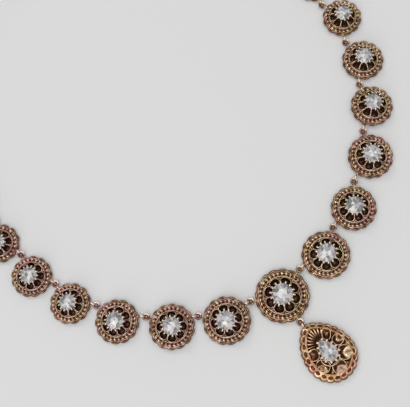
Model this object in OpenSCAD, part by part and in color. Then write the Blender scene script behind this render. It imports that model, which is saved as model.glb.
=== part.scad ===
/* [Loop] */
// Half the width of the oval that the loop follows behind the neck
back_half_width = 66.8; // [66.7:0.1:66.9]
// Distance from the middle of the loop to the clasp
back_depth = 85.3; // [85.2:0.1:85.6]
// Free space between two neighbouring clusters behind the neck
back_gap = 2.85; // [2.8:0.05:2.9]
// How much each cluster behind the neck is smaller than the one before it
back_taper = 0.1; // [0.08:0.01:0.12]
// Pairs of clusters on each side of the centre cluster
pairs = 13; // [13:1:13]

/* [Cluster] */
// Petals round each stone
petals = 8; // [7:1:8]
// Claws that hold each stone
claws = 14; // [12:1:14]
// Width of one scallop along the cluster's edge
scallop_pitch = 3.3; // [3:0.05:3.6]
// Stone's radius as a share of the cluster's radius
stone_share = 0.385; // [0.36:0.005:0.39]
// Height of the stone's widest line as a share of the cluster's radius
girdle_share = 0.79; // [0.7:0.01:0.85]
// Radius of the smooth rim wire as a share of the cluster's radius
rim_share = 0.68; // [0.66:0.005:0.69]
// Height of the rim wire as a share of the cluster's radius
rim_height_share = 0.39; // [0.36:0.01:0.42]

/* [Pendant] */
// Radius of the pendant's round end
pendant_r = 8.15; // [8:0.05:8.2]
// Radius of the pendant's pointed end
pendant_tip_r = 3.1; // [2.9:0.1:3.2]
// Distance between the middles of those two ends
pendant_span = 9.2; // [8.9:0.1:9.3]
// Radius of the long arc down each flank
pendant_flank_r = 13.6; // [13:0.2:15]
// Turn of the pendant about its round end, point towards the left
pendant_turn = 7; // [4:1:8]
// Scallops round the pendant's edge
pendant_scallops = 23; // [22:1:25]

/* [Links] */
// Radius of a link's ring, to the middle of its wire
link_r = 0.9; // [0.85:0.01:0.95]
// Diameter of the link wire
link_wire = 0.45; // [0.4:0.01:0.5]
// How far the links lie inside the line from cluster to cluster
link_inset = 2.4; // [2:0.1:2.6]

/* [Clasp] */
// Length of the clasp's body
clasp_length = 14.5; // [14:0.1:14.7]
// Width of the clasp's body
clasp_width = 6; // [5:0.1:7]
// Height of the clasp's body
clasp_height = 3; // [2.6:0.1:3.4]

/* [Hidden] */
$fn = 48;
fine = 24;

// Columns of the two tables below
DIAMETER = 0;
ANGLE = 1;
REACH = 2;
LEAN = 3;
LEAN_TO = 4;
PETAL_TURN = 5;
SCALLOP_TURN = 6;

// Clusters in front: diameter, angle round the loop from the centre cluster, distance from the loop's middle,
// lean, the way it leans, and the turn of its petals and of its scallops
CENTRE = [17.0, -1.1, 67.1, 0, 0, 43, 10];
RIGHT = [
    [15.3, 14.9, 66.4, 0, 0, 11, 2],
    [14.4, 29.9, 65.6, 1, -10, 33, 9],
    [14.3, 45.3, 65.7, 3, -90, 0, 0],
    [13.5, 59.9, 65.6, 3, 0, 21, 16],
    [13.4, 73.7, 66.2, 1.5, -20, 11, 23],
    [12.7, 87.7, 66.7, 2, -40, 21, 14],
];
LEFT = [
    [15.1, 17.2, 66.8, 3.5, -130, 25, 17],
    [14.4, 32.1, 66.0, 5, -40, 13, 4],
    [14.0, 47.1, 66.1, 1, -90, 41, 11],
    [13.1, 61.1, 66.0, 1.5, 0, 31, 12],
    [13.2, 74.5, 66.0, 2.5, -40, 12, 28],
    [12.7, 87.7, 66.7, 2, -40, 21, 14],
];
front = len(RIGHT);

// Place of the pendant's round end, measured from the middle of the loop
pendant_at = [0.64, -90.4];

// The drawing's origin is the middle of the whole outline, so the loop's middle lies behind it
loop_back = max(back_depth + clasp_width / 2, back_d(pairs) / 2 + on_oval(back_turn(pairs)).y);
loop_front = pendant_r - pendant_at.y;
loop_y = (loop_front - loop_back) / 2;

link_outer_r = link_r + link_wire / 2;
link_play = 0.06;
link_step = 2 * link_r - link_wire - link_play;
link_lift = 0.025;
link_z = link_outer_r + link_lift;
stem_d = 0.36;
stem_start = link_r - 0.05;
stem_grip = 0.76;
clasp_inset = 0.5;

// Heights and radii inside a cluster, as shares of its radius
foot_in = 0.72;
foot_out = 0.8;
tier_out = 0.88;
tier_low = 0.11;
tier_high = 0.23;
tier_hollow = 0.78;
scallop_share = 0.28;
hole_at = 0.94;
hole_share = 0.03;
band_in = 0.715;
band_high = 0.36;
band_low = 0.28;
band_foot = 0.21;
rim_wall = 0.035;
rim_slope = 0.02;
dish_in = 0.3;
dish_out = 0.68;
dish_foot = 0.07;
dish_middle = 0.12;
petal_at = 0.5;
petal_share = 0.165;
petal_lift = 0.01;
collet_foot_in = 0.24;
collet_foot_out = 0.32;
collet_bore = 0.42;
collet_top_r = 0.405;
collet_wall = 0.04;
collet_drop = 0.035;
claw_share = 0.036;
claw_foot_r = 0.33;
claw_foot = 0.26;
claw_top_r = 0.435;
claw_top = 0.83;
claw_tip_share = 0.05;
claw_tip_r = 0.418;
claw_tip_top = 0.855;

// Proportions of a cut stone, as shares of its radius
table_share = 0.56;
crown_share = 0.32;
edge_share = 0.03;
depth_share = 0.86;
stone_sides = 16;

// Heights of the pendant
pendant_foot_h = 1;
pendant_tier_h = 2;
pendant_band_h = 2.8;
pendant_dish_h = 2.65;
pendant_rim_h = 3.2;
pendant_girdle = 5.4;
pendant_collet_h = 5.15;
pendant_claw_top = 5.95;
pendant_stem_z = 1.5;
pendant_steps = 72;

// Distances inwards from the pendant's edge: [outer side, inner side] of each ring
ring_grip = 0.6;
scallop_r = 1.2;
scallop_hole_r = 0.4;
scallop_hole_in = 0.8;
tier_inner = 1.85;
foot_ring = [1.1, 1.8];
band_ring = [1.3, 2];
rim_ring = [1.75, 2.15];
dish_outer = 1.95;
dish_low = 0.6;
dish_play = 0.2;

// The pendant's stone: radius of its round end and its point, distance between them, flank radius, and its shift
drop_r = 2.5;
drop_tip_r = 0.8;
drop_span = 3.8;
drop_flank_r = 7;
drop_shift = [0, 1];
drop_steps = 20;
drop_collet_wall = 0.34;
drop_collet_play = 0.12;
drop_collet_low = 0.9;
drop_claws = 13;
drop_claw_d = 0.5;
drop_claw_tip_r = 0.34;

// Petals of the pendant, measured from the middle of its round end: to the right, towards the point, radius
PENDANT_PETALS = [
    [3.3, 6, 1.3],
    [4.7, 2.4, 1.5],
    [3.7, -1.7, 1.7],
    [-0.3, -4, 1.7],
    [-4, -0.6, 1.7],
    [-3.9, 3.6, 1.5],
];

SIDES = [[1, "right"], [-1, "left"]];
function node_names(kind) = [
    for (s = SIDES)
        for (i = [1:pairs])
            str(kind, "_", s[1], "_", i)
];

// Behind the neck the clusters lie on an oval. A place on it is given by its turn from the front, and each cluster
// is one step further round than the one before it.
function on_oval(turn) = [back_half_width * sin(turn), -back_depth * cos(turn)];
function oval_speed(turn) = norm([back_half_width * cos(turn), back_depth * sin(turn)]) * PI / 180;
function one_step(turn, far) = turn + far / oval_speed(turn + far / oval_speed(turn) / 2);
function back_d(i) = RIGHT[front - 1][DIAMETER] - back_taper * (i - front);
function back_turn(i) =
    i == front
    ? acos(RIGHT[front - 1][REACH] * cos(RIGHT[front - 1][ANGLE]) / back_depth)
    : one_step(back_turn(i - 1), (back_d(i) + back_d(i - 1)) / 2 + back_gap);

// A row of the tables for a cluster behind the neck
function back_row(i) =
    let (p = on_oval(back_turn(i)))
    [back_d(i), atan2(p.x, -p.y), norm(p), 0, 0, 0, 0];

function row(side, i) = i == 0 ? CENTRE : i > front ? back_row(i) : side > 0 ? RIGHT[i - 1] : LEFT[i - 1];
function place(side, i) =
    i > pairs
    ? [side * clasp_length / 2, loop_y + back_depth]
    : let (r = row(side, i), hand = i == 0 ? 1 : side)
      [hand * r[REACH] * sin(r[ANGLE]), loop_y - r[REACH] * cos(r[ANGLE])];
function radius(side, i) = i > pairs ? 0 : row(side, i)[DIAMETER] / 2;

// Middle height of a cluster's scalloped edge, at a place measured from the cluster's middle
function edge_z(data, v) =
    let (r = data[DIAMETER] / 2, to = [cos(data[LEAN_TO]), sin(data[LEAN_TO])])
    foot_out * r * sin(data[LEAN]) + (tier_low + tier_high) / 2 * r * cos(data[LEAN]) - v * to * sin(data[LEAN]);

function unit(v) = v / norm(v);
function heading(v) = atan2(v.y, v.x);

// Middle of the flat ring on cluster i, which the next cluster's upright ring hangs in, and the way along the chain
function way(side, i) = unit(place(side, i + 1) - place(side, i));
function inset(i) = i == pairs ? clasp_inset : link_inset;
function ring_at(side, i) =
    let (e = way(side, i))
    place(side, i) + e * (radius(side, i) + link_outer_r) + side * inset(i) * [-e.y, e.x];
function next_ring_at(side, i) = ring_at(side, i) + link_step * way(side, i);

pendant_ring = place(1, 0) + [0, -CENTRE[DIAMETER] / 2 - link_outer_r];
pendant_next_ring = pendant_ring + [0, -link_step];
pendant_xy = [pendant_at.x, pendant_at.y + loop_y];
pendant_point = pendant_xy + pendant_span * [-sin(pendant_turn), cos(pendant_turn)];

// A ring that lies flat or stands upright. Its turned form starts on the side away from its own cluster.
module flat_ring(at, away) {
    translate([at.x, at.y, link_z])
        rotate([0, 0, heading(away)])
            rotate_extrude()
                translate([link_r, 0])
                    circle(d = link_wire, $fn = fine);
}

module upright_ring(at, away) {
    translate([at.x, at.y, link_z])
        rotate([0, 0, heading(away)])
            rotate([90, 0, 0])
                rotate_extrude()
                    translate([link_r, 0])
                        circle(d = link_wire, $fn = fine);
}

// A short round wire into the edge of the leaned cluster at the given place. It starts inside the ring's wire, on
// the side that the third value points to.
module stem(ring, at, toward, data) {
    start = ring + stem_start * toward;
    e = unit(at - start);
    grip = stem_grip * data[DIAMETER] / 2;
    wire([start.x, start.y, link_z], concat(at - e * grip, edge_z(data, -e * grip)));
}

module wire(from, to) {
    v = to - from;
    translate(from)
        rotate([0, 0, heading(v)])
            rotate([0, atan2(norm([v.x, v.y]), v.z), 0])
                cylinder(d = stem_d, h = norm(v), $fn = fine);
}

// The low scalloped edge with a round hole in each scallop
module scalloped_tier(r, turn) {
    count = round(2 * PI * r / scallop_pitch);
    translate([0, 0, tier_low * r])
        linear_extrude((tier_high - tier_low) * r)
            difference() {
                for (i = [0:count - 1])
                    rotate(turn + i * 360 / count)
                        translate([(1 - scallop_share) * r, 0])
                            circle(r = scallop_share * r);
                circle(r = tier_hollow * r);
                for (i = [0:count - 1])
                    rotate(turn + i * 360 / count)
                        translate([hole_at * r, 0])
                            circle(r = hole_share * r, $fn = fine);
            }
}

// Foot, sloping band and rim wire as one turned shell
module turned_band(r) {
    rotate_extrude()
        polygon(r * [
            [foot_in, 0],
            [foot_out, 0],
            [tier_out, tier_low],
            [tier_out, tier_high],
            [band_in, band_high],
            [rim_share, rim_height_share],
            [rim_share - rim_wall, rim_height_share - rim_slope],
            [rim_share - rim_wall, band_low],
            [foot_in, band_foot],
        ]);
}

module petal_dish(r, turn) {
    difference() {
        rotate_extrude()
            polygon(r * [
                [dish_in, dish_foot],
                [petal_at, dish_middle],
                [dish_out, tier_high],
                [dish_out, band_high],
                [dish_in, band_high],
            ]);
        for (i = [0:petals - 1])
            rotate(turn + i * 360 / petals)
                translate([petal_at * r, 0, (band_high + petal_lift) * r])
                    sphere(r = petal_share * r);
    }
}

// Cone under the stone, bored for its point
module collet(r) {
    top = girdle_share - collet_drop;
    rotate_extrude()
        polygon(r * [
            [collet_foot_in, dish_foot],
            [collet_foot_out, dish_foot],
            [collet_top_r, top],
            [collet_top_r - collet_wall, top],
            [collet_foot_in, collet_bore],
        ]);
}

module claw(r) {
    slope = atan2(claw_top_r - claw_foot_r, claw_top - claw_foot);
    length = norm([claw_top_r - claw_foot_r, claw_top - claw_foot]) * r;
    translate([claw_foot_r * r, 0, claw_foot * r])
        rotate([0, slope, 0])
            cylinder(r = claw_share * r, h = length, $fn = fine);
    translate([claw_tip_r * r, 0, claw_tip_top * r])
        sphere(r = claw_tip_share * r, $fn = fine);
}

module leaned(data, r) {
    translate([0, 0, foot_out * r * sin(data[LEAN])])
        rotate(a = data[LEAN], v = [-sin(data[LEAN_TO]), cos(data[LEAN_TO]), 0])
            children();
}

module cluster_setting(data) {
    r = data[DIAMETER] / 2;
    leaned(data, r) {
        scalloped_tier(r, data[SCALLOP_TURN]);
        turned_band(r);
        petal_dish(r, data[PETAL_TURN]);
        collet(r);
        for (i = [0:claws - 1])
            rotate((i + 0.5) * 360 / claws)
                claw(r);
    }
}

// One cluster of the chain with its own ring at each end, all soldered together
module setting(side, i) {
    at = place(side, i);
    color("darkgoldenrod") {
        translate([at.x, at.y, 0])
            cluster_setting(row(side, i));
        flat_ring(ring_at(side, i), way(side, i));
        stem(ring_at(side, i), at, unit(at - ring_at(side, i)), row(side, i));
        upright_ring(next_ring_at(side, i - 1), -way(side, i - 1));
        stem(next_ring_at(side, i - 1), at, way(side, i - 1), row(side, i));
    }
}

module setting_centre() {
    at = place(1, 0);
    color("darkgoldenrod") {
        translate([at.x, at.y, 0])
            cluster_setting(CENTRE);
        for (side = [-1, 1]) {
            flat_ring(ring_at(side, 0), way(side, 0));
            stem(ring_at(side, 0), at, unit(at - ring_at(side, 0)), CENTRE);
        }
        flat_ring(pendant_ring, [0, -1]);
        stem(pendant_ring, at, [0, 1], CENTRE);
    }
}

// A cut stone over any outline: flat table, sloping crown, thin edge and a pointed underside
module cut_stone(outline, middle, crown, edge, depth) {
    n = len(outline);
    ring = [for (p = outline) p - middle];
    points = concat(
        [for (p = ring) [p.x * table_share + middle.x, p.y * table_share + middle.y, crown]],
        [for (p = outline) [p.x, p.y, edge]],
        [for (p = outline) [p.x, p.y, -edge]],
        [[middle.x, middle.y, -depth]]
    );
    sides = [
        for (k = [0:1])
            for (j = [0:n - 1])
                [k * n + j, k * n + (j + 1) % n, (k + 1) * n + (j + 1) % n, (k + 1) * n + j]
    ];
    underside = [for (j = [0:n - 1]) [2 * n + j, 2 * n + (j + 1) % n, 3 * n]];
    polyhedron(points = points, faces = concat([[for (j = [0:n - 1]) n - 1 - j]], sides, underside));
}

module round_stone(data) {
    r = data[DIAMETER] / 2;
    g = r * stone_share;
    outline = [for (j = [0:stone_sides - 1]) g * [cos(j * 360 / stone_sides), sin(j * 360 / stone_sides)]];
    leaned(data, r)
        translate([0, 0, girdle_share * r])
            cut_stone(outline, [0, 0], crown_share * g, edge_share * g, depth_share * g);
}

module stone(side, i) {
    at = place(side, i);
    color("lightcyan")
        translate([at.x, at.y, 0])
            round_stone(row(side, i));
}

// Pear outline: a round end at the origin, a small round point along +Y, and one long arc down each flank.
// Each function takes the shape as [round radius, point radius, span, flank radius].
function flank_y(s) = ((s[3] - s[0]) ^ 2 - (s[3] - s[1]) ^ 2 + s[2] ^ 2) / (2 * s[2]);
function flank_x(s) = -sqrt((s[3] - s[0]) ^ 2 - flank_y(s) ^ 2);
function angle_round(s) = heading([-flank_x(s), -flank_y(s)]);
function angle_flank(s) = heading([-flank_x(s), s[2] - flank_y(s)]);
function length_round(s) = s[0] * (angle_round(s) + 90) * PI / 180;
function length_flank(s) = s[3] * (angle_flank(s) - angle_round(s)) * PI / 180;
function length_tip(s) = s[1] * (90 - angle_flank(s)) * PI / 180;
function half_length(s) = length_round(s) + length_flank(s) + length_tip(s);

// Point and outward angle at a distance along the right half, counted from the bottom of the round end
function on_half(s, far, inset) =
    let (a = length_round(s), b = a + length_flank(s))
    far <= a
    ? let (t = -90 + far / s[0] * 180 / PI) [(s[0] - inset) * cos(t), (s[0] - inset) * sin(t), t]
    : far <= b
      ? let (t = angle_round(s) + (far - a) / s[3] * 180 / PI)
        [flank_x(s) + (s[3] - inset) * cos(t), flank_y(s) + (s[3] - inset) * sin(t), t]
      : let (t = angle_flank(s) + (far - b) / s[1] * 180 / PI)
        [(s[1] - inset) * cos(t), s[2] + (s[1] - inset) * sin(t), t];
function on_pear(s, far, inset) =
    far <= half_length(s)
    ? on_half(s, far, inset)
    : let (p = on_half(s, 2 * half_length(s) - far, inset)) [-p.x, p.y, 180 - p.z];
function pear(s, steps, inset = 0) = [
    for (k = [0:steps - 1])
        let (p = on_pear(s, (k + 0.5) * 2 * half_length(s) / steps, inset))
        [p.x, p.y]
];

PENDANT = [pendant_r, pendant_tip_r, pendant_span, pendant_flank_r];
DROP = [drop_r, drop_tip_r, drop_span, drop_flank_r];

// A pear-shaped ring; its sides are given as [outer, inner] distances inwards from the edge
module pear_ring(s, steps, sides, low, high) {
    translate([0, 0, low])
        linear_extrude(high - low)
            difference() {
                polygon(pear(s, steps, sides[0]));
                polygon(pear(s, steps, sides[1]));
            }
}

module pendant_tier() {
    pitch = 2 * half_length(PENDANT) / pendant_scallops;
    translate([0, 0, pendant_foot_h])
        linear_extrude(pendant_tier_h - pendant_foot_h)
            difference() {
                union() {
                    polygon(pear(PENDANT, pendant_steps, scallop_r));
                    for (i = [0:pendant_scallops - 1]) {
                        p = on_pear(PENDANT, (i + 0.5) * pitch, scallop_r);
                        translate([p.x, p.y])
                            circle(r = scallop_r);
                    }
                }
                polygon(pear(PENDANT, pendant_steps, tier_inner));
                for (i = [0:pendant_scallops - 1]) {
                    p = on_pear(PENDANT, (i + 0.5) * pitch, scallop_hole_in);
                    translate([p.x, p.y])
                        circle(r = scallop_hole_r, $fn = fine);
                }
            }
}

module pendant_dish() {
    difference() {
        translate([0, 0, dish_low])
            linear_extrude(pendant_dish_h - dish_low)
                difference() {
                    polygon(pear(PENDANT, pendant_steps, dish_outer));
                    translate(drop_shift)
                        polygon(pear(DROP, drop_steps, -dish_play));
                }
        for (p = PENDANT_PETALS)
            translate([p.x, p.y, pendant_dish_h])
                sphere(r = p.z);
    }
}

module drop_claw(p) {
    out = drop_collet_wall / 2 + drop_collet_play;
    translate([p.x + out * cos(p.z), p.y + out * sin(p.z), pendant_tier_h])
        cylinder(d = drop_claw_d, h = pendant_claw_top - pendant_tier_h, $fn = fine);
    translate([p.x + out * cos(p.z), p.y + out * sin(p.z), pendant_claw_top])
        sphere(r = drop_claw_tip_r, $fn = fine);
}

module pendant_body() {
    pendant_tier();
    pear_ring(PENDANT, pendant_steps, foot_ring, 0, pendant_foot_h + ring_grip);
    pear_ring(PENDANT, pendant_steps, band_ring, pendant_tier_h - ring_grip, pendant_band_h);
    pear_ring(PENDANT, pendant_steps, rim_ring, pendant_band_h - ring_grip, pendant_rim_h);
    pendant_dish();
    translate(drop_shift) {
        pear_ring(DROP, drop_steps * 2, [-drop_collet_wall, drop_collet_play], drop_collet_low, pendant_collet_h);
        for (i = [0:drop_claws - 1])
            drop_claw(on_pear(DROP, (i + 0.5) * 2 * half_length(DROP) / drop_claws, 0));
    }
}

module pendant_setting() {
    color("darkgoldenrod") {
        translate([pendant_xy.x, pendant_xy.y, 0])
            rotate([0, 0, pendant_turn])
                pendant_body();
        upright_ring(pendant_next_ring, [0, 1]);
        wire(
            [pendant_next_ring.x, pendant_next_ring.y - stem_start, link_z],
            [pendant_point.x, pendant_point.y, pendant_stem_z]
        );
    }
}

module pendant_stone() {
    middle = [0, (drop_span + drop_tip_r - drop_r) / 2];
    color("lightcyan")
        translate([pendant_xy.x, pendant_xy.y, pendant_girdle])
            rotate([0, 0, pendant_turn])
                translate(drop_shift)
                    cut_stone(pear(DROP, drop_steps), middle, crown_share * drop_r, edge_share * drop_r,
                        depth_share * drop_r);
}

// A plain flat clasp with rounded ends and a low lip round its upper edge
module clasp() {
    half = clasp_length / 2 - clasp_width / 2;
    middle = [0, loop_y + back_depth];
    color("goldenrod") {
        translate([middle.x, middle.y, 0])
            linear_extrude(clasp_height) {
                square([2 * half, clasp_width], center = true);
                for (side = [-1, 1])
                    translate([side * half, 0])
                        circle(d = clasp_width);
            }
        for (side = [-1, 1]) {
            ring = next_ring_at(side, pairs);
            start = ring + stem_start * way(side, pairs);
            upright_ring(ring, -way(side, pairs));
            wire([start.x, start.y, link_z], [middle.x + side * half, middle.y, link_z]);
        }
    }
}

setting_centre();
stone(1, 0);  // stone_centre
for (s = SIDES)
    for (i = [1:pairs]) {
        setting(s[0], i);
        stone(s[0], i);
    }
pendant_setting();
pendant_stone();
clasp();
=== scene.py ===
import math
from collections import namedtuple

import bpy
import numpy as np
from mathutils import Matrix, Vector


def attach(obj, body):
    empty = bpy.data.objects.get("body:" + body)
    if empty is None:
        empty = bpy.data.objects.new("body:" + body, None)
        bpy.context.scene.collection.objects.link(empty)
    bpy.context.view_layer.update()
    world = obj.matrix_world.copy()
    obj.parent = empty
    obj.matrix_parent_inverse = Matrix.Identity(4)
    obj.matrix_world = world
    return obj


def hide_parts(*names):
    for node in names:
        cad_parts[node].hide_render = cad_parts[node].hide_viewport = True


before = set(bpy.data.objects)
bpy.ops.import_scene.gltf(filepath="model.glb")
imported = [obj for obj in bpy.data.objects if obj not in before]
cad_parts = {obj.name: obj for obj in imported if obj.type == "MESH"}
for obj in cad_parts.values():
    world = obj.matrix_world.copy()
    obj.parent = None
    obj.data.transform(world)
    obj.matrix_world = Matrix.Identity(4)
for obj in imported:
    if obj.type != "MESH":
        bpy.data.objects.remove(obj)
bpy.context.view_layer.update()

MM = 0.001
TAU = 2 * math.pi

# Sizes as in the CAD part, in millimetres and degrees. A cluster's place is its angle round the loop and its
# reach from the loop's middle. A pear has a round end and a point, this far apart, and two arched flanks
Cluster = namedtuple("Cluster", "diameter angle reach lean lean_to petal_turn scallop_turn")
Pear = namedtuple("Pear", "round_r point_r apart flank_r")
PAIRS = 13
BACK_HALF_WIDTH, BACK_DEPTH, BACK_GAP, BACK_TAPER = 66.8, 85.3, 2.85, 0.1
CENTRE = Cluster(17.0, -1.1, 67.1, 0, 0, 43, 10)
RIGHT = [
    Cluster(15.3, 14.9, 66.4, 0, 0, 11, 2),
    Cluster(14.4, 29.9, 65.6, 1, -10, 33, 9),
    Cluster(14.3, 45.3, 65.7, 3, -90, 0, 0),
    Cluster(13.5, 59.9, 65.6, 3, 0, 21, 16),
    Cluster(13.4, 73.7, 66.2, 1.5, -20, 11, 23),
    Cluster(12.7, 87.7, 66.7, 2, -40, 21, 14),
]
LEFT = [
    Cluster(15.1, 17.2, 66.8, 3.5, -130, 25, 17),
    Cluster(14.4, 32.1, 66.0, 5, -40, 13, 4),
    Cluster(14.0, 47.1, 66.1, 1, -90, 41, 11),
    Cluster(13.1, 61.1, 66.0, 1.5, 0, 31, 12),
    Cluster(13.2, 74.5, 66.0, 2.5, -40, 12, 28),
    Cluster(12.7, 87.7, 66.7, 2, -40, 21, 14),
]
FRONT = len(RIGHT)
PENDANT = Pear(8.15, 3.1, 9.2, 13.6)
PENDANT_AT = (0.64, -90.4)
PENDANT_TURN = 7
DROP = Pear(2.5, 0.8, 3.8, 7)
DROP_SHIFT = np.array([0.0, 1.0])
DROP_GIRDLE = 5.4
LINK_R, LINK_WIRE, LINK_INSET, LINK_PLAY = 0.9, 0.45, 2.4, 0.06
LINK_OUT = LINK_R + LINK_WIRE / 2
LINK_STEP = 2 * LINK_R - LINK_WIRE - LINK_PLAY
LINK_Z = LINK_OUT + 0.025
CLASP_LENGTH, CLASP_WIDTH, CLASP_HEIGHT = 14.5, 6, 3
CLASP_INSET = 0.5


# Places round the loop. Side is 1 on the right and -1 on the left, and cluster 0 is the centre one
def unit(v):
    return v / np.linalg.norm(v)


def oval_speed(turn):
    """Millimetres along the oval behind the neck for each radian of turn."""
    return math.hypot(BACK_HALF_WIDTH * math.cos(turn), BACK_DEPTH * math.sin(turn))


def back_clusters():
    """The clusters behind the neck, each one step further round the oval and a little smaller."""
    clusters = {}
    last = RIGHT[-1]
    diameter = last.diameter
    turn = math.acos(last.reach * math.cos(math.radians(last.angle)) / BACK_DEPTH)
    for i in range(FRONT + 1, PAIRS + 1):
        step = diameter - BACK_TAPER / 2 + BACK_GAP
        diameter -= BACK_TAPER
        turn += step / oval_speed(turn + step / oval_speed(turn) / 2)
        x, y = BACK_HALF_WIDTH * math.sin(turn), -BACK_DEPTH * math.cos(turn)
        clusters[i] = Cluster(diameter, math.degrees(math.atan2(x, -y)), math.hypot(x, y), 0, 0, 0, 0)
    return clusters


BACK = back_clusters()


def cluster_data(side, i):
    if i == 0:
        return CENTRE
    if i > FRONT:
        return BACK[i]
    return (RIGHT if side > 0 else LEFT)[i - 1]


def loop_middle():
    """How far the middle of the loop's circle lies behind the middle of the whole outline."""
    last = BACK[PAIRS]
    behind_last = last.diameter / 2 - last.reach * math.cos(math.radians(last.angle))
    behind = max(BACK_DEPTH + CLASP_WIDTH / 2, behind_last)
    return (PENDANT.round_r - PENDANT_AT[1] - behind) / 2


LOOP_Y = loop_middle()


def place(side, i):
    """Middle of cluster i, or the clasp's tip after the last cluster."""
    if i > PAIRS:
        return np.array([side * CLASP_LENGTH / 2, LOOP_Y + BACK_DEPTH])
    data = cluster_data(side, i)
    angle = math.radians(data.angle)
    hand = side if i else 1
    return np.array([hand * data.reach * math.sin(angle), LOOP_Y - data.reach * math.cos(angle)])


def way(side, i):
    """Direction from cluster i to the next."""
    return unit(place(side, i + 1) - place(side, i))


def ring_at(side, i):
    """Middle of the flat ring on cluster i."""
    e = way(side, i)
    inset = CLASP_INSET if i == PAIRS else LINK_INSET
    far = cluster_data(side, i).diameter / 2 + LINK_OUT
    return place(side, i) + e * far + side * inset * np.array([-e[1], e[0]])


def next_ring_at(side, i):
    """Middle of the upright ring that hangs in the flat ring of cluster i."""
    return ring_at(side, i) + LINK_STEP * way(side, i)


PENDANT_RING = place(1, 0) + np.array([0, -CENTRE.diameter / 2 - LINK_OUT])
PENDANT_NEXT = PENDANT_RING + np.array([0, -LINK_STEP])

# Building meshes
TUBE_END_REACH = 0.8
TUBE_END_NARROW = 0.3
BEAD_POLE = 0.02


def angles(steps):
    return TAU * np.arange(steps) / steps


def polar(radius, angle, height):
    """Points at a radius, an angle about Z and a height, each a number or an array."""
    radius, angle, height = np.broadcast_arrays(radius, angle, height)
    return np.stack([radius * np.cos(angle), radius * np.sin(angle), height], -1)


def raised(points, z):
    """Flat points lifted to the height z."""
    return np.column_stack([points, np.broadcast_to(z, len(points))])


class Metal:
    """Collects grids of points into one mesh.

    Darkness is 1 in a dark hollow and 0 on bright wire, and below 0 it is a painted glint; the dark end
    stands partly for tarnish and partly for painted shade. Pink is 0 for a yellow gold and 1 for a rosy one.
    Warm is 1 where the hollows turn reddish, the more so the darker they are.
    """

    def __init__(self, pink, warm=0.0):
        self.points, self.quads, self.patina, self.count = [], [], [], 0
        self.pink, self.warm = pink, warm

    def grid(self, points, patina, loop=False, flip=False):
        """Rows of points, each row closed into a ring. With loop the last row joins the first."""
        points = np.asarray(points, float)
        rows, cols = points.shape[:2]
        index = np.arange(rows * cols).reshape(rows, cols) + self.count
        if loop:
            index = np.vstack([index, index[:1]])
        index = np.hstack([index, index[:, :1]])
        corners = [index[:-1, :-1], index[1:, :-1], index[1:, 1:], index[:-1, 1:]]
        if flip:
            corners.reverse()
        self.points.append(points.reshape(-1, 3))
        self.quads.append(np.stack(corners, -1).reshape(-1, 4))
        self.patina.append(np.broadcast_to(patina, (rows, cols)).reshape(-1).astype(float))
        self.count += rows * cols

    def strip(self, rows, shade, flip=False):
        """A grid whose rows each have their own darkness, from tarnish and painted light, a number or one for
        each point.
        """
        patina = [np.broadcast_to(s, len(rows[0])) for s in shade]
        self.grid(np.stack(rows), np.stack(patina), flip=flip)

    def lathe(self, profile, steps, flip=False):
        """A profile turned about Z. Each of its rows is a radius, a height and a darkness from tarnish and
        painted light.
        """
        radius, height, patina = np.array(profile).T[:, :, None]
        self.grid(polar(radius, angles(steps), height), patina, flip=flip)

    def tube(self, path, radius, sides, patina=0.0, closed=False, up=(0, 0, 1)):
        """A round wire along a path, with rounded ends if it is open."""
        path = np.asarray(path, float)
        radius = np.broadcast_to(np.asarray(radius, float), (len(path),))
        patina = np.broadcast_to(np.asarray(patina, float), (len(path),))
        if closed:
            along = np.roll(path, -1, 0) - np.roll(path, 1, 0)
        else:
            along = np.gradient(path, axis=0)
        along /= np.linalg.norm(along, axis=1)[:, None]
        if not closed:
            first = path[0] - TUBE_END_REACH * radius[0] * along[0]
            last = path[-1] + TUBE_END_REACH * radius[-1] * along[-1]
            path = np.vstack([first, path, last])
            radius = np.concatenate([[TUBE_END_NARROW * radius[0]], radius, [TUBE_END_NARROW * radius[-1]]])
            patina = np.concatenate([patina[:1], patina, patina[-1:]])
            along = np.vstack([along[:1], along, along[-1:]])
        side = np.cross(along, np.asarray(up, float))
        side /= np.linalg.norm(side, axis=1)[:, None]
        lift = np.cross(side, along)
        a = angles(sides)
        ring = np.cos(a)[None, :, None] * side[:, None] + np.sin(a)[None, :, None] * lift[:, None]
        points = path[:, None] + radius[:, None, None] * ring
        self.grid(points, patina[:, None], loop=closed)
        if not closed:
            for end, flip in ((0, False), (-1, True)):
                middle = np.broadcast_to(path[end], (1, sides, 3))
                self.grid(np.concatenate([middle, points[end][None]]), patina[end], flip=flip)

    def bead(self, at, radii, patina):
        """A small closed ellipsoid."""
        t = np.linspace(BEAD_POLE, math.pi - BEAD_POLE, 5)[:, None]
        self.grid(at + polar(np.sin(t), angles(8), np.cos(t)) * radii, patina)

    def moved(self, matrix):
        """All points so far, moved by a 4 x 4 matrix."""
        m = np.array(matrix)
        self.points = [np.vstack(self.points) @ m[:3, :3].T + m[:3, 3]]
        return self

    def build(self, label):
        """The finished object, in gold."""
        points = np.vstack(self.points)
        quads = np.vstack(self.quads)
        mesh = bpy.data.meshes.new(label)
        mesh.vertices.add(len(points))
        mesh.vertices.foreach_set("co", points.astype(np.float32).ravel())
        mesh.loops.add(quads.size)
        mesh.loops.foreach_set("vertex_index", quads.astype(np.int32).ravel())
        mesh.polygons.add(len(quads))
        mesh.polygons.foreach_set("loop_start", np.arange(0, quads.size, 4, dtype=np.int32))
        mesh.update(calc_edges=True)
        mesh.validate()
        mesh.polygons.foreach_set("use_smooth", np.full(len(mesh.polygons), True))
        count = len(points)
        shares = {
            "patina": np.concatenate(self.patina),
            "pink": np.full(count, self.pink),
            "warm": np.full(count, self.warm),
        }
        for name, values in shares.items():
            attribute = mesh.attributes.new(name, "FLOAT", "POINT")
            attribute.data.foreach_set("value", values.astype(np.float32))
        mesh.materials.append(GOLD)
        return in_scene(label, mesh)


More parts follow.
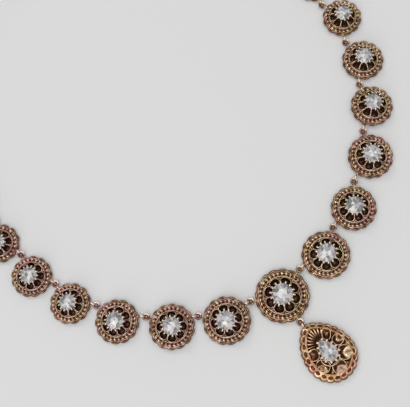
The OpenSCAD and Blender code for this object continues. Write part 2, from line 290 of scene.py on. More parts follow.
def in_scene(name, data):
    obj = bpy.data.objects.new(name, data)
    bpy.context.scene.collection.objects.link(obj)
    return obj


def hand_over(obj, node):
    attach(obj, "root")
    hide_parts(node)


# Materials. The first row holds the scales of the noise in the gold, in waves for each metre
SPOTS, PATCHES, DRIFT, DENTS = 800, 110, 260, 1500
DENT_DEPTH = 0.00006
# Gold from bright wire to dark hollow; the dark end stands partly for tarnish and partly for painted shade.
GOLD_STOPS = [
    (0.0, (1.0, 0.83, 0.63, 1)),
    (0.14, (0.87, 0.63, 0.42, 1)),
    (0.32, (0.52, 0.33, 0.19, 1)),
    (0.54, (0.19, 0.10, 0.06, 1)),
    (0.85, (0.055, 0.027, 0.018, 1)),
]
YELLOW_CAST = (0.99, 1.05, 0.95, 1)
PINK_CAST = (1.0, 1.0, 1.12, 1)
NO_CAST = (1, 1, 1, 1)
RED_CAST = (1.06, 0.80, 0.60, 1)
PALE_GREY = (0.80, 0.80, 0.80, 1)
# Painted reflections for the stone's facets, from dark through blue-grey and lilac to white.
FACET_REFLECTION_STOPS = [
    (0.0, (0.20, 0.19, 0.18, 1)),
    (0.16, (0.34, 0.38, 0.39, 1)),
    (0.32, (0.62, 0.56, 0.64, 1)),
    (0.5, (0.90, 0.86, 0.82, 1)),
    (1.0, (1.0, 0.99, 0.97, 1)),
]


class Surface:
    """A material and its nodes. What is fed to an input is a number, a colour or another node's output."""

    def __init__(self, name):
        self.material = bpy.data.materials.new(name)
        self.material.use_nodes = True
        self.tree = self.material.node_tree
        self.shader = self.tree.nodes["Principled BSDF"]

    def feed(self, node, inputs):
        for name, value in inputs.items():
            if isinstance(value, bpy.types.NodeSocket):
                self.tree.links.new(value, node.inputs[name])
            else:
                node.inputs[name].default_value = value

    def add(self, kind, inputs):
        node = self.tree.nodes.new("ShaderNode" + kind)
        self.feed(node, inputs)
        return node

    def attribute(self, name):
        node = self.add("Attribute", {})
        node.attribute_name = name
        return node.outputs["Fac"]

    def noise(self, scale, detail=2):
        where = self.add("TexCoord", {}).outputs["Object"]
        return self.add("TexNoise", {"Vector": where, "Scale": scale, "Detail": detail}).outputs["Fac"]

    def calc(self, operation, numbers, clamp=False):
        node = self.add("Math", dict(enumerate(numbers)))
        node.operation = operation
        node.use_clamp = clamp
        return node.outputs[0]

    def ranged(self, value, start, end):
        """A value carried from the range start to the range end."""
        limits = {"From Min": start[0], "From Max": start[1], "To Min": end[0], "To Max": end[1]}
        return self.add("MapRange", {"Value": value, **limits}).outputs["Result"]

    def mixed(self, share, first, second, blend="MIX"):
        node = self.add("MixRGB", {"Fac": share, "Color1": first, "Color2": second})
        node.blend_type = blend
        return node.outputs["Color"]

    def ramp(self, value, stops):
        node = self.add("ValToRGB", {"Fac": value})
        elements = node.color_ramp.elements
        elements[0].position, elements[0].color = stops[0]
        elements[1].position, elements[1].color = stops[-1]
        for position, colour in stops[1:-1]:
            elements.new(position).color = colour
        return node.outputs["Color"]


def gold_material():
    """Gold, bright on the wires and dark in the hollows from tarnish and painted shade, with painted glints,
    yellow and rosy patches and small dents.
    """
    gold = Surface("antique_gold")
    patina = gold.attribute("patina")
    spots = gold.calc("ADD", [gold.noise(SPOTS, 3), -0.42])
    tarnish_shade_and_spots = gold.calc("ADD", [patina, spots], clamp=True)
    drift = gold.ranged(gold.noise(DRIFT), (0.3, 0.7), (0.465, 0.514))
    hue = gold.add("HueSaturation", {"Hue": drift, "Color": gold.ramp(tarnish_shade_and_spots, GOLD_STOPS)})
    patches = gold.calc("MULTIPLY_ADD", [gold.noise(PATCHES), 3.0, -1.5])
    rosy = gold.calc("ADD", [patches, gold.attribute("pink")], clamp=True)
    cast = gold.mixed(rosy, YELLOW_CAST, PINK_CAST)
    tinted = gold.mixed(1.0, hue.outputs["Color"], cast, "MULTIPLY")
    # The red cast grows with the darkness, so it tints tarnish and painted shade alike.
    deeper = gold.calc("MULTIPLY_ADD", [tarnish_shade_and_spots, 1.4, 0.15])
    warmth = gold.calc("MULTIPLY", [gold.attribute("warm"), deeper], clamp=True)
    toned = gold.mixed(1.0, tinted, gold.mixed(warmth, NO_CAST, RED_CAST), "MULTIPLY")
    bare = gold.ranged(tarnish_shade_and_spots, (0.5, 1.0), (1.0, 0.3))
    # Below -0.2 the gold turns less metallic, so its pale colour shows as a painted glint.
    glint = gold.ranged(patina, (-0.7, -0.2), (0.15, 1.0))
    dents = gold.add("Bump", {"Strength": 0.25, "Distance": DENT_DEPTH, "Height": gold.noise(DENTS)})
    look = {
        "Base Color": toned,
        "Metallic": gold.calc("MULTIPLY", [bare, glint]),
        "Roughness": gold.ranged(tarnish_shade_and_spots, (0, 1), (0.24, 0.6)),
        "Normal": dents.outputs["Normal"],
    }
    gold.feed(gold.shader, look)
    return gold.material


def diamond_material():
    """Clear stone whose facets each get a random painted reflection, from dark grey through blue-grey and
    lilac to white.
    """
    diamond = Surface("cut_diamond")
    look = {
        "Base Color": diamond.ramp(diamond.attribute("painted_facet_reflection"), FACET_REFLECTION_STOPS),
        "Roughness": 0.03,
        "IOR": 2.42,
        "Transmission Weight": 0.3,
    }
    diamond.feed(diamond.shader, look)
    return diamond.material


def floor_material():
    """Plain pale grey."""
    floor = Surface("floor")
    look = {"Base Color": PALE_GREY, "Roughness": 0.9, "Specular IOR Level": 0.1}
    floor.feed(floor.shader, look)
    return floor.material


# Random draws for the facets' painted reflections.
FACET_REFLECTION_DRAWS = np.random.default_rng(5)
GOLD = gold_material()
DIAMOND = diamond_material()

# A round cluster, with its radius as 1. The two pitches are in millimetres
PETALS, CLAWS = 8, 14
SCALLOP_PITCH, STROKE_PITCH = 3.3, 1.3
SCALLOP = 0.28
FOOT_OUT = 0.8
STROKES_AT = 0.8
# Turned surfaces: radius, height and darkness of each row, from tarnish and painted shade
# The foot, the rim's low inner wall and the dish under the petals are dark with painted shade.
FOOT = [(0.0, 0.045, 0.9), (0.70, 0.045, 0.9), (0.72, 0.0, 0.6), (FOOT_OUT, 0.0, 0.5), (0.83, 0.07, 0.7)]
FOOT_INSIDE = [(0.71, 0.0, 0.9), (0.70, 0.10, 0.9), (0.69, 0.25, 0.9)]
RIM = [
    (0.885, 0.17, 0.75),
    (0.87, 0.19, 0.65),
    (0.80, 0.215, 0.62),
    (0.76, 0.27, 0.58),
    (0.70, 0.335, 0.55),
    (0.672, 0.34, 0.45),
    (0.662, 0.30, 0.7),
    (0.675, 0.12, 0.95),
]
DISH = [(0.27, 0.07, 0.9), (0.685, 0.07, 0.9)]
# The rim's two thin wires: radius, height, sides and darkness, from tarnish and painted light
RIM_WIRES = [(0.685, 0.388, 7, 0.08), (0.874, 0.235, 6, 0.22)]
RIM_WIRE_THICK = 0.017
EDGE_WIRE_THICK = 0.02
FOOT_STEPS, RIM_STEPS, WIRE_STEPS = 48, 72, 80
GROOVE_R, GROOVE_HIGH, GROOVE_THICK = 0.732, 0.325, 0.015
ROPE_R, ROPE_HIGH, ROPE_THICK = 0.803, 0.262, 0.048
PETAL_REACH, PETAL_START = 0.658, 0.315
PETAL_CORNER, PETAL_POWER = 0.16, 2.3
PETAL_GAP = 0.009
PETAL_MIDDLE = np.array([0.5, 0.0])
PETAL_FLOOR, PETAL_LOW_TOP = 0.09, 0.372
PETAL_CLIMB, PETAL_CLIMB_LENGTH = 0.16, 0.34
PETAL_WIRE_THICK = 0.013
BEAD_AT, BEAD_HIGH = 0.632, 0.36
BEAD_SIZE = (0.048, 0.048, 0.035)
CONE_R, CONE_WIDENING, CONE_FOOT, CONE_RISE = 0.265, 0.11, 0.08, 0.66
# A claw from its foot up: distance from the middle, height, thickness and darkness, painted shade at the foot
# and a painted highlight at the tip
CLAW = np.array([
    (0.340, 0.45, 0.020, 0.75),
    (0.385, 0.61, 0.022, 0.65),
    (0.420, 0.73, 0.026, 0.5),
    (0.437, 0.80, 0.033, 0.3),
    (0.435, 0.85, 0.037, 0.0),
    (0.416, 0.885, 0.037, -0.2),
    (0.383, 0.90, 0.030, -0.2),
])


def edge_radius(angle, count, turn):
    """Distance from the middle to the scalloped edge."""
    pitch = TAU / count
    a = (angle - turn + pitch / 2) % pitch - pitch / 2
    c = 1 - SCALLOP
    return c * np.cos(a) + np.sqrt(SCALLOP**2 - (c * np.sin(a)) ** 2)


def scalloped_edge(m, count, turn, fine):
    """The low lobed plates with a slot inside the wire that runs round their edge. Painted shade darkens the
    slot, the plates' underside and outer fall, and the edge wire.
    """
    steps = count * fine
    a = turn + TAU * (np.arange(steps) + 0.5) / steps
    edge = edge_radius(a, count, turn)
    inner = np.minimum(0.87, edge - 0.125)
    slot = np.clip(1.6 * np.cos(count * (a - turn)) + 0.2, 0, 1)
    underside = [
        (0.70, 0.10, 0.95),
        (edge - 0.045, 0.10, 0.95),
        (edge - 0.02, 0.085, 0.55),
        (edge - 0.03, 0.06, 0.55),
        (0.79, 0.055, 0.6),
    ]
    plate = [
        (inner - 0.05, 0.225, 0.5),
        (inner, 0.215, 0.3 + 0.1 * slot),
        (edge - 0.112, 0.205 - 0.05 * slot, 0.35 + 0.6 * slot),
        (edge - 0.075, 0.195 - 0.05 * slot, 0.35 + 0.6 * slot),
        (edge - 0.055, 0.2, 0.2),
        (edge - 0.038, 0.185, 0.45),
        (edge - 0.042, 0.11, 0.9),
    ]
    for profile in (underside, plate):
        rows = [polar(radius, a, height) for radius, height, _ in profile]
        m.strip(rows, [patina for *_, patina in profile], True)
    a = turn + angles(steps)
    path = polar(edge_radius(a, count, turn) - EDGE_WIRE_THICK, a, 0.15)
    # The edge wire is dimmed with painted shade.
    m.tube(path, EDGE_WIRE_THICK, 6, 0.48, closed=True)


def dashed_wire(m, count):
    """A thin wire in the groove outside the rim, which is dark with painted shade. The wire gets a painted
    highlight where it touches the rope beside it and painted shade where it dips.
    """
    a = angles(count * 8)
    near = np.cos(count * a)
    path = polar(GROOVE_R + 0.008 * near, a, GROOVE_HIGH + 0.015 * near)
    m.tube(path, GROOVE_THICK, 5, 0.36 - 0.3 * near, closed=True)


def rope_wire(m, count, fine):
    """A wire that swells and thins like a row of slanting beads, with painted shade between them and a
    painted highlight on each swell.
    """
    a = angles(count * fine)[:, None]
    b = angles(8)
    swell = np.cos(count * a - 0.7 * np.cos(b))
    thick = ROPE_THICK * (1 + 0.22 * swell)
    points = polar(ROPE_R + thick * np.cos(b), a, ROPE_HIGH + thick * np.sin(b))
    m.grid(points, 0.32 - 0.26 * swell, loop=True)


def petal_outline(fine):
    """A petal along +X, from its inner left corner round the wide end to its inner right corner."""
    half = math.pi / PETALS
    u = np.sin(np.linspace(1, -1, 4 * fine + 1) * math.pi / 2)
    corner = 1 - (1 - np.abs(u) ** PETAL_POWER) ** (1 / PETAL_POWER)
    far = PETAL_REACH - PETAL_CORNER * corner
    angle = half * u * (1 - PETAL_GAP / far / half)
    bow = np.stack([far * np.cos(angle), far * np.sin(angle)], -1)
    legs = np.linspace(PETAL_START, math.hypot(*bow[0]), 6)[:-1]
    left = np.stack([legs * math.cos(half), legs * math.sin(half) - PETAL_GAP], -1)
    right = left[::-1] * [1, -1]
    return np.vstack([left, bow, right])


def petal_top(points):
    """Height of the petals' wires, which climb towards the stone."""
    far = np.hypot(points[:, 0], points[:, 1])
    share = np.clip((PETAL_REACH - far) / PETAL_CLIMB_LENGTH, 0, 1)
    return PETAL_LOW_TOP + PETAL_CLIMB * share**1.6


def petals(m, turn, fine):
    """Hollow petals, each with a light wire round it and a bead in the corner beside it. The hollows darken
    with painted shade towards their floor, with painted stripes of light and shade on their walls.
    """
    outline = petal_outline(fine)
    top = petal_top(outline)
    levels = np.linspace(0, 1, 8)
    narrow = np.cos(levels * math.pi / 2) ** 0.65
    narrow[-1] = 0.02
    deep = np.sin(levels * math.pi / 2) ** 1.3
    cup = np.stack([
        raised(PETAL_MIDDLE + (outline - PETAL_MIDDLE) * n, top + (PETAL_FLOOR - top) * d)
        for n, d in zip(narrow, deep)
    ])
    # Painted shade deeper down, and painted rib stripes of light and shade.
    shade = np.interp(levels, [0, 0.25, 0.5, 1], [0.22, 0.45, 0.6, 0.6])[:, None]
    painted_rib_stripes = np.cos(np.arange(len(outline)) * TAU / 4) * np.sin(levels * math.pi)[:, None]
    wire = raised(outline, top + 0.004)
    for t in turn + angles(PETALS):
        spin = np.array([[math.cos(t), math.sin(t), 0], [-math.sin(t), math.cos(t), 0], [0, 0, 1]])
        m.grid(cup @ spin, shade + 0.16 * painted_rib_stripes)
        m.tube(wire @ spin, PETAL_WIRE_THICK, 6, 0.08)
        m.bead(polar(BEAD_AT, t + math.pi / PETALS, BEAD_HIGH), BEAD_SIZE, 0.22)


def coronet(m):
    """The fluted cone under the stone, with a claw on each ridge."""
    turn = math.pi / CLAWS
    a = turn + angles(CLAWS * 6)
    ridge = np.clip(np.cos(CLAWS * (a - turn)), 0, 1) ** 1.5
    levels = np.linspace(0, 1, 7)[:, None]
    bulge = 0.03 * ridge * (0.5 + 0.5 * levels)
    points = polar(CONE_R + CONE_WIDENING * levels**0.9 + bulge, a, CONE_FOOT + CONE_RISE * levels)
    # Painted shade darkens the grooves between the ridges, the cone's foot and the lip's underside.
    shade = np.clip(0.85 - 0.75 * ridge - 0.15 * levels, 0.05, 1)
    m.grid(points, shade, flip=True)
    m.strip([points[-1], polar(0.345, a, 0.745), polar(0.30, a, 0.55)], [shade[-1], 0.3, 0.8], True)
    far, high, thick, patina = CLAW.T
    for t in turn + angles(CLAWS):
        m.tube(polar(far, t, high), thick, 7, patina, up=(-math.sin(t), math.cos(t), 0))


def round_cluster(data, pink, fine):
    """The gold of a round cluster."""
    r = data.diameter / 2
    scallops = round(TAU * r / SCALLOP_PITCH)
    strokes = 2 * round(TAU * STROKES_AT * r / STROKE_PITCH / 2)
    m = Metal(pink)
    m.lathe(FOOT, FOOT_STEPS)
    m.lathe(FOOT_INSIDE, FOOT_STEPS)
    scalloped_edge(m, scallops, math.radians(data.scallop_turn), fine)
    m.lathe(RIM, RIM_STEPS, True)
    dashed_wire(m, strokes)
    rope_wire(m, strokes, fine + 2)
    for radius, height, sides, patina in RIM_WIRES:
        m.tube(polar(radius, angles(WIRE_STEPS), height), RIM_WIRE_THICK, sides, patina, closed=True)
    m.lathe(DISH, FOOT_STEPS, True)
    petals(m, math.radians(data.petal_turn), fine)
    coronet(m)
    return m


def cluster_matrix(data, at):
    """Size, lean and place of a cluster, which stands on the lower edge of its foot."""
    r = data.diameter / 2 * MM
    lean, to = math.radians(data.lean), math.radians(data.lean_to)
    lift = FOOT_OUT * r * math.sin(lean)
    axis = Vector((-math.sin(to), math.cos(to), 0))
    move = Matrix.Translation((at[0] * MM, at[1] * MM, lift))
    return move @ Matrix.Rotation(lean, 4, axis) @ Matrix.Scale(r, 4)


# Links between the clusters, in millimetres. Their wire is a little thicker here than in the CAD part
FULL_WIRE = 0.6
STEM_R = 0.28
STEM_DARKNESS = 0.15
RING_STEPS = 28
# Angle of the painted highlight on a flat ring.
PAINTED_HIGHLIGHT_TURN = 0.6
# Where a stem ends in its cluster, as shares of the cluster's radius
GRIP, GRIP_HIGH = 0.76, 0.17


def flat_ring(m, at):
    """A ring that lies flat, with a painted highlight along part of its wire and a dark wire inside it that
    stands in for the shade in its hole.
    """
    a = angles(RING_STEPS)
    painted_ring_highlight = np.clip(np.cos(a - PAINTED_HIGHLIGHT_TURN), 0, 1) ** 3
    wires = [
        (LINK_R, LINK_Z, FULL_WIRE / 2, 8, 0.38 - 1.2 * painted_ring_highlight),
        # The inner wire is a dark stand-in for the shade inside the ring's hole.
        (LINK_R - 0.3, LINK_Z - 0.08, 0.26, 6, 0.75),
    ]
    for radius, height, thick, sides, patina in wires:
        m.tube((polar(radius, a, height) + [*at, 0]) * MM, thick * MM, sides, patina, closed=True)


def upright_ring(m, at, e):
    """A ring that stands upright along the direction e."""
    a = angles(RING_STEPS)
    path = raised(at + np.outer(LINK_R * np.cos(a), e), LINK_Z + LINK_R * np.sin(a))
    m.tube(path * MM, FULL_WIRE / 2 * MM, 8, 0.0, closed=True, up=(-e[1], e[0], 0))


def short_wire(m, start, end, middle_z, end_z):
    """A short round wire from a ring to a place on the metal beside it."""
    path = np.array([[*start, LINK_Z], [*((start + end) / 2), middle_z], [*end, end_z]])
    m.tube(path * MM, STEM_R * MM, 8, STEM_DARKNESS)


def stem(m, ring, at, toward, data):
    """The wire from a ring to the scalloped edge of a leaning cluster."""
    r = data.diameter / 2
    start = ring + toward * LINK_R
    e = unit(at - start)
    lean, to = math.radians(data.lean), math.radians(data.lean_to)
    rise = FOOT_OUT * r * math.sin(lean) + GRIP_HIGH * r * math.cos(lean)
    rise += GRIP * r * (e[0] * math.cos(to) + e[1] * math.sin(to)) * math.sin(lean)
    short_wire(m, start, at - e * GRIP * r, (LINK_Z + rise) / 2, rise)


# Stones
STONE_SIDES = 16
STONE_SHARE = 0.385
STONE_HIGH = 0.79


def rose_cut(outline, middle, height):
    """Points and faces of a rose cut stone over its outline: a low dome of facets and a pointed back."""
    n = STONE_SIDES
    outward = outline - middle
    even, odd = range(0, n, 2), range(1, n, 2)
    points, faces = [(*middle, 0.40 * height)], []

    def add(corners, share, rise):
        """Corners on a share of the outline, at a share of the height."""
        first = len(points)
        points.extend((*(middle + outward[i] * share), rise * height) for i in corners)
        return {i: first + k for k, i in enumerate(corners)}

    star = add(even, 0.47, 0.34)
    skirt = add(odd, 0.80, 0.17)
    upper = add(range(n), 1.0, 0.03)
    lower = add(range(n), 1.0, -0.03)
    back = add(odd, 0.32, -0.60)
    tip = len(points)
    points.append((*middle, -0.84 * height))
    for i in even:
        left, right, after = (i - 1) % n, (i + 1) % n, (i + 2) % n
        faces += [
            [0, star[i], star[after]],
            [star[i], skirt[right], star[after]],
            [star[i], skirt[left], upper[i]],
            [star[i], upper[i], skirt[right]],
            [skirt[right], upper[i], upper[right]],
            [skirt[right], upper[right], upper[after]],
            [lower[i], back[left], tip, back[right]],
            [back[right], lower[right], lower[i]],
            [back[right], lower[after], lower[right]],
        ]
    for i in range(n):
        after = (i + 1) % n
        faces.append([upper[i], lower[i], lower[after], upper[after]])
    return np.array(points), faces


def add_stone(label, node, outline, middle, height, matrix, reflection_dimming=1.5):
    """A stone whose facets take random painted reflections, darker the greater the dimming exponent is."""
    points, faces = rose_cut(outline, np.array(middle), height)
    mesh = bpy.data.meshes.new(label)
    mesh.from_pydata(points.tolist(), [], faces)
    mesh.validate()
    mesh.transform(matrix)
    painted_facet_reflection = mesh.attributes.new("painted_facet_reflection", "FLOAT", "FACE")
    painted_facet_reflection.data.foreach_set("value", (FACET_REFLECTION_DRAWS.random(len(mesh.polygons)) ** reflection_dimming).astype(np.float32))
    mesh.materials.append(DIAMOND)
    hand_over(in_scene(label, mesh), node)


# The round clusters with their links and stones
RIGHT_PINK, LEFT_PINK = 0.35, 0.8
FRONT_FINE, BACK_FINE = 8, 6


def add_cluster(side, i, label):
    data, at = cluster_data(side, i), place(side, i)
    matrix = cluster_matrix(data, at)
    pink = RIGHT_PINK if side > 0 else LEFT_PINK
    gold = round_cluster(data, pink, FRONT_FINE if i <= FRONT else BACK_FINE).moved(matrix)
    flat_sides = (1, -1) if i == 0 else (side,)
    for flat_side in flat_sides:
        ring = ring_at(flat_side, i)
        flat_ring(gold, ring)
        stem(gold, ring, at, unit(at - ring), data)
    if i == 0:
        flat_ring(gold, PENDANT_RING)
        stem(gold, PENDANT_RING, at, np.array([0.0, 1.0]), data)
    else:
        ring, e = next_ring_at(side, i - 1), way(side, i - 1)
        upright_ring(gold, ring, e)
        stem(gold, ring, at, e, data)
    hand_over(gold.build(f"cluster_{label}"), f"setting_{label}")
    outline = polar(STONE_SHARE, angles(STONE_SIDES), 0)[:, :2]
    seat = matrix @ Matrix.Translation((0, 0, STONE_HIGH))
    add_stone(f"gem_{label}", f"stone_{label}", outline, (0, 0), STONE_SHARE, seat)


add_cluster(1, 0, "centre")
for side, word in ((1, "right"), (-1, "left")):
    for i in range(1, PAIRS + 1):
        add_cluster(side, i, f"{word}_{i}")


# The pendant, in millimetres, with the middle of its round end at the origin and its point along +Y
def pear_arcs(s):
    """Middle of the right flank's arc, the angles where the arcs meet, and the three arcs' lengths."""
    y = ((s.flank_r - s.round_r) ** 2 - (s.flank_r - s.point_r) ** 2 + s.apart**2) / (2 * s.apart)
    x = -math.sqrt((s.flank_r - s.round_r) ** 2 - y**2)
    round_end, flank_end = math.atan2(-y, -x), math.atan2(s.apart - y, -x)
    lengths = (
        s.round_r * (round_end + math.pi / 2),
        s.flank_r * (flank_end - round_end),
        s.point_r * (math.pi / 2 - flank_end),
    )
    return x, y, round_end, flank_end, lengths


def pear_length(s):
    return 2 * sum(pear_arcs(s)[-1])


def on_pear(s, far, inset=0.0):
    """Points inset from a pear's edge, and the angles they face.

    Far is the distance along the edge, counted from the bottom of the round end.
    """
    x, y, round_end, flank_end, lengths = pear_arcs(s)
    half = sum(lengths)
    far = np.asarray(far, float) % (2 * half)
    mirrored = far > half
    f = np.where(mirrored, 2 * half - far, far)
    a, b = lengths[0], lengths[0] + lengths[1]
    arcs = [f <= a, f <= b]
    on_round = -math.pi / 2 + f / s.round_r
    on_flank = round_end + (f - a) / s.flank_r
    on_point = flank_end + (f - b) / s.point_r
    t = np.select(arcs, [on_round, on_flank], on_point)
    radius = np.select(arcs, [s.round_r, s.flank_r], s.point_r) - inset
    px = np.select(arcs, [0.0, x], 0.0) + radius * np.cos(t)
    py = np.select(arcs, [0.0, y], s.apart) + radius * np.sin(t)
    points = np.stack([np.where(mirrored, -px, px), py], -1)
    return points, np.where(mirrored, math.pi - t, t)


PENDANT_LENGTH = pear_length(PENDANT)
DROP_LENGTH = pear_length(DROP)
SCALLOPS = 23
FRAME_SHIFT = np.array([0.3, 0.2])
FRAME_INSET = 2.1
FRAME_HIGH = 2.32
BAND_START, BAND_FOOT, BAND_HIGH, BAND_RISE = 0.22, 1.3, 1.6, 0.55
HOLE_AT, HOLE_LONG, HOLE_WIDE = 1.28, 0.88, 0.4
# The floor from the frame to the stone: share of the way, height and darkness, painted shade growing towards
# the stone
GROUND = [(0, 2.12, 0.36), (0.2, 1.7, 0.4), (0.3, 1.3, 0.6), (0.45, 0.95, 0.85), (1, 0.9, 0.95)]
STONE_MIDDLE = np.array([0.0, 1.8])
PENDANT_WIRE = 0.13
# Hollow petals: to the right, towards the point, half length, half width, how bright the far wall's painted
# highlight is
CUPS = [
    (3.2, 5.95, 1.8, 1.3, 0.5),
    (4.75, 2.45, 1.65, 1.65, 1.0),
    (3.75, -1.7, 2.0, 2.2, 1.0),
    (-0.3, -4.0, 1.8, 2.15, 1.1),
    (-4.0, -0.7, 1.8, 2.1, 0.95),
    (-3.95, 3.6, 1.6, 1.75, 0.65),
]
CUP_POWER = 2.5
CUP_FLOOR, CUP_TOP, CUP_TILT = 1.2, 2.62, 0.22
PLEATS = 10
PLEAT_SPAN = (0.42, 0.665)
PLEAT_CENTRE = np.array([0.4, 4.5])
PLEAT_INSET = FRAME_INSET + 0.3
DROP_CLAWS = 13
# A claw from its foot up: distance outside the stone, height, thickness and darkness, painted shade at the
# foot and a painted glint at the top
DROP_CLAW = np.array([
    (0.1, 3.2, 0.13, 0.6),
    (0.3, 4.4, 0.16, 0.5),
    (0.46, 5.2, 0.24, 0.2),
    (0.42, 5.75, 0.34, -0.5),
    (0.15, 6.05, 0.30, -0.8),
])
DROP_CONE_FOOT, DROP_CONE_RISE = 0.9, 4.3
ARC_FROM, ARC_TO, ARC_HIGH = -0.24, 0.08, 2.95


def in_frame(far, inset):
    """Points inside the pendant's outline. The frame sits a little nearer to the point than the edge does."""
    inset = np.broadcast_to(np.asarray(inset, float), np.shape(far))
    return on_pear(PENDANT, far, inset)[0] + np.clip(inset / FRAME_INSET, 0, 1)[:, None] * FRAME_SHIFT


def beside_stone(share, outset):
    """Points round the pear-shaped stone, from its outline outwards."""
    return on_pear(DROP, share * DROP_LENGTH, -outset)[0] + DROP_SHIFT


def pendant_edge(m):
    """The scalloped border: a low flank dark with painted shade, then a sloping band with a long hole in each
    scallop. The holes are darkened with painted shade and their lips lightened with a painted highlight.
    """
    steps = SCALLOPS * 12
    far = PENDANT_LENGTH * np.arange(steps) / steps
    pitch = PENDANT_LENGTH / SCALLOPS
    phase = (far / pitch) % 1 - 0.5
    lobe = 0.4 * (2 * np.abs(phase)) ** 2.2
    flank = [
        (1.9, 0.0, 0.8),
        (1.1, 0.0, 0.6),
        (0.9, 0.7, 0.6),
        (lobe + 0.02, 0.95, 0.5),
        (lobe + 0.04, 1.2, 0.5),
        (lobe + 0.2, 1.35, 0.55),
    ]
    rows = [raised(on_pear(PENDANT, far, inset)[0], z) for inset, z, _ in flank]
    m.strip(rows, [patina for *_, patina in flank], True)
    rows, shade = [], []
    for q in np.linspace(0, 1, 15):
        inset = lobe + BAND_START + q * (FRAME_INSET - lobe - BAND_START)
        oval = (phase * pitch / HOLE_LONG) ** 2 + ((inset - HOLE_AT) / HOLE_WIDE) ** 2
        depth = np.clip((1.15 - oval) / 0.4, 0, 1)
        lip = np.exp(-((np.sqrt(oval) - 1.3) ** 2) / 0.03)
        z = BAND_HIGH + BAND_RISE * q - 0.4 * depth + 0.07 * lip
        rows.append(raised(in_frame(far, inset), z if q else BAND_FOOT))
        # Painted shade in the holes and a painted highlight on their lips.
        shade.append(np.clip(0.27 + 0.33 * depth - 0.18 * lip - 0.1 * (q < 0.1), 0, 1))
    m.strip(rows, shade)
    along = PENDANT_LENGTH * np.arange(120) / 120
    m.tube(raised(in_frame(along, FRAME_INSET), FRAME_HIGH), PENDANT_WIRE, 7, 0.12, closed=True)


def pendant_ground(m):
    """The hollow floor between the frame and the stone: grey beside the frame, and dark with painted shade
    towards and under the stone.
    """
    share = np.arange(120) / 120
    outer = in_frame(PENDANT_LENGTH * share, FRAME_INSET + 0.05)
    inner = beside_stone(share, 0.45)
    m.strip([raised(outer + (inner - outer) * q, z) for q, z, _ in GROUND], [patina for *_, patina in GROUND])
    m.strip([raised(inner, 1.0), raised(beside_stone(share, -1.5), 0.8)], [0.95, 0.95])


def pendant_cup(m, x, y, length, width, highlight_strength):
    """A hollow petal with a light wire round it. Its wall gets a painted highlight on the side away from the
    stone, split by a dark painted line, and painted shade elsewhere.
    """
    middle = np.array([x, y])
    out = unit(middle - STONE_MIDDLE)
    across = np.array([-out[1], out[0]])
    t = angles(36)
    c, s = np.cos(t), np.sin(t)
    lengthwise = np.sign(c) * np.abs(c) ** (2 / CUP_POWER) * length
    sideways = np.sign(s) * np.abs(s) ** (2 / CUP_POWER) * width
    ring = middle + np.outer(lengthwise, out) + np.outer(sideways, across)
    top = CUP_TOP - CUP_TILT * c
    bottom = middle - 0.42 * length * out
    painted_crease_shade = 0.7 * np.exp(-((s - 0.15) ** 2) / 0.008) * (c > 0)
    rows, shade = [], []
    for v in np.linspace(0, 1, 10) * math.pi / 2:
        narrow = max(0.02, math.cos(v) ** 1.1)
        rows.append(raised(bottom + (ring - bottom) * narrow, top + (CUP_FLOOR - top) * math.sin(v) ** 1.7))
        # A painted highlight on the far wall, with a painted dark line down it; the rest is painted shade.
        painted_wall_highlight = highlight_strength * np.clip(2 * c - 0.3, 0, 1) * math.cos(v) ** 0.6
        shade.append(np.clip(0.8 - (1.6 - painted_crease_shade) * painted_wall_highlight, -0.7, 0.9))
    m.strip(rows, shade)
    m.tube(raised(ring, top + 0.03), PENDANT_WIRE, 7, 0.06, closed=True)


def pendant_corners(m):
    """Small raised leaves that fill the corners between neighbouring cups and the frame."""
    q = np.linspace(0, 1, 6)
    for a, b in zip(CUPS, CUPS[1:]):
        middle = (np.array(a[:2]) + np.array(b[:2])) / 2
        out = unit(middle - STONE_MIDDLE)
        path = raised(middle + np.outer(1.9 - 1.7 * q, out), 1.95 - 0.3 * q)
        m.tube(path, 0.6 - 0.5 * q, 8, 0.3 + 0.25 * q)


def pendant_pleats(m):
    """Short leaf-shaped ridges that fan out round the stone's point."""
    inner = Pear(PENDANT.round_r - PLEAT_INSET, PENDANT.point_r - PLEAT_INSET, PENDANT.apart,
                 PENDANT.flank_r - PLEAT_INSET)
    q = np.linspace(0, 1, 8)
    for start in on_pear(inner, np.linspace(*PLEAT_SPAN, PLEATS) * pear_length(inner))[0] + FRAME_SHIFT:
        path = raised(start + np.outer(q, 0.6 * (PLEAT_CENTRE - start)), 2.45 - 0.15 * q - 0.7 * q**2)
        m.tube(path, 0.23 * np.sin(0.6 + 2.3 * q**0.8) + 0.03, 7, 0.06 + 0.35 * q**2)


